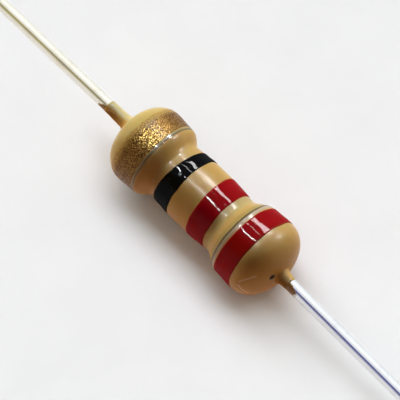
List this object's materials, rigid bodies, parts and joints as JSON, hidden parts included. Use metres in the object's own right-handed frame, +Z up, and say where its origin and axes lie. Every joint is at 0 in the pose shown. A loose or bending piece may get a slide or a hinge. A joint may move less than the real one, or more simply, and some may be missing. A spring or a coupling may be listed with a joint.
{
  "type": "axial resistor",
  "caption": "Axial-lead resistor: a lacquered body with a raised cap at each end, painted colour bands and straight tinned wire leads.",
  "frame": {"origin": "centre of the body, on its axis, half way between the tips of the two leads", "axes": "+X along the axis from the gold band towards the red bands, +Z up"},
  "size_m": [0.026, 0.0026, 0.0026],
  "materials": {
    "lacquer": "glossy tan dipped lacquer",
    "gold_paint": "metallic gold paint with visible flakes under gloss",
    "black_paint": "glossy black paint",
    "red_paint": "glossy red paint",
    "tinned_wire": "bright tinned wire",
    "cap_plate": "tin-plated pressed steel",
    "rod_ceramic": "unglazed white ceramic",
    "carbon": "grey-black deposited carbon"
  },
  "bodies": {
    "root": {"lacquer_coat": "lacquer", "gold_band": "gold_paint", "black_band": "black_paint", "inner_red_band": "red_paint", "outer_red_band": "red_paint", "gold_end_lead": "tinned_wire", "red_end_lead": "tinned_wire", "gold_end_cap": "cap_plate", "red_end_cap": "cap_plate", "ceramic_core": "rod_ceramic", "carbon_film": "carbon"}
  },
  "joints": []
}
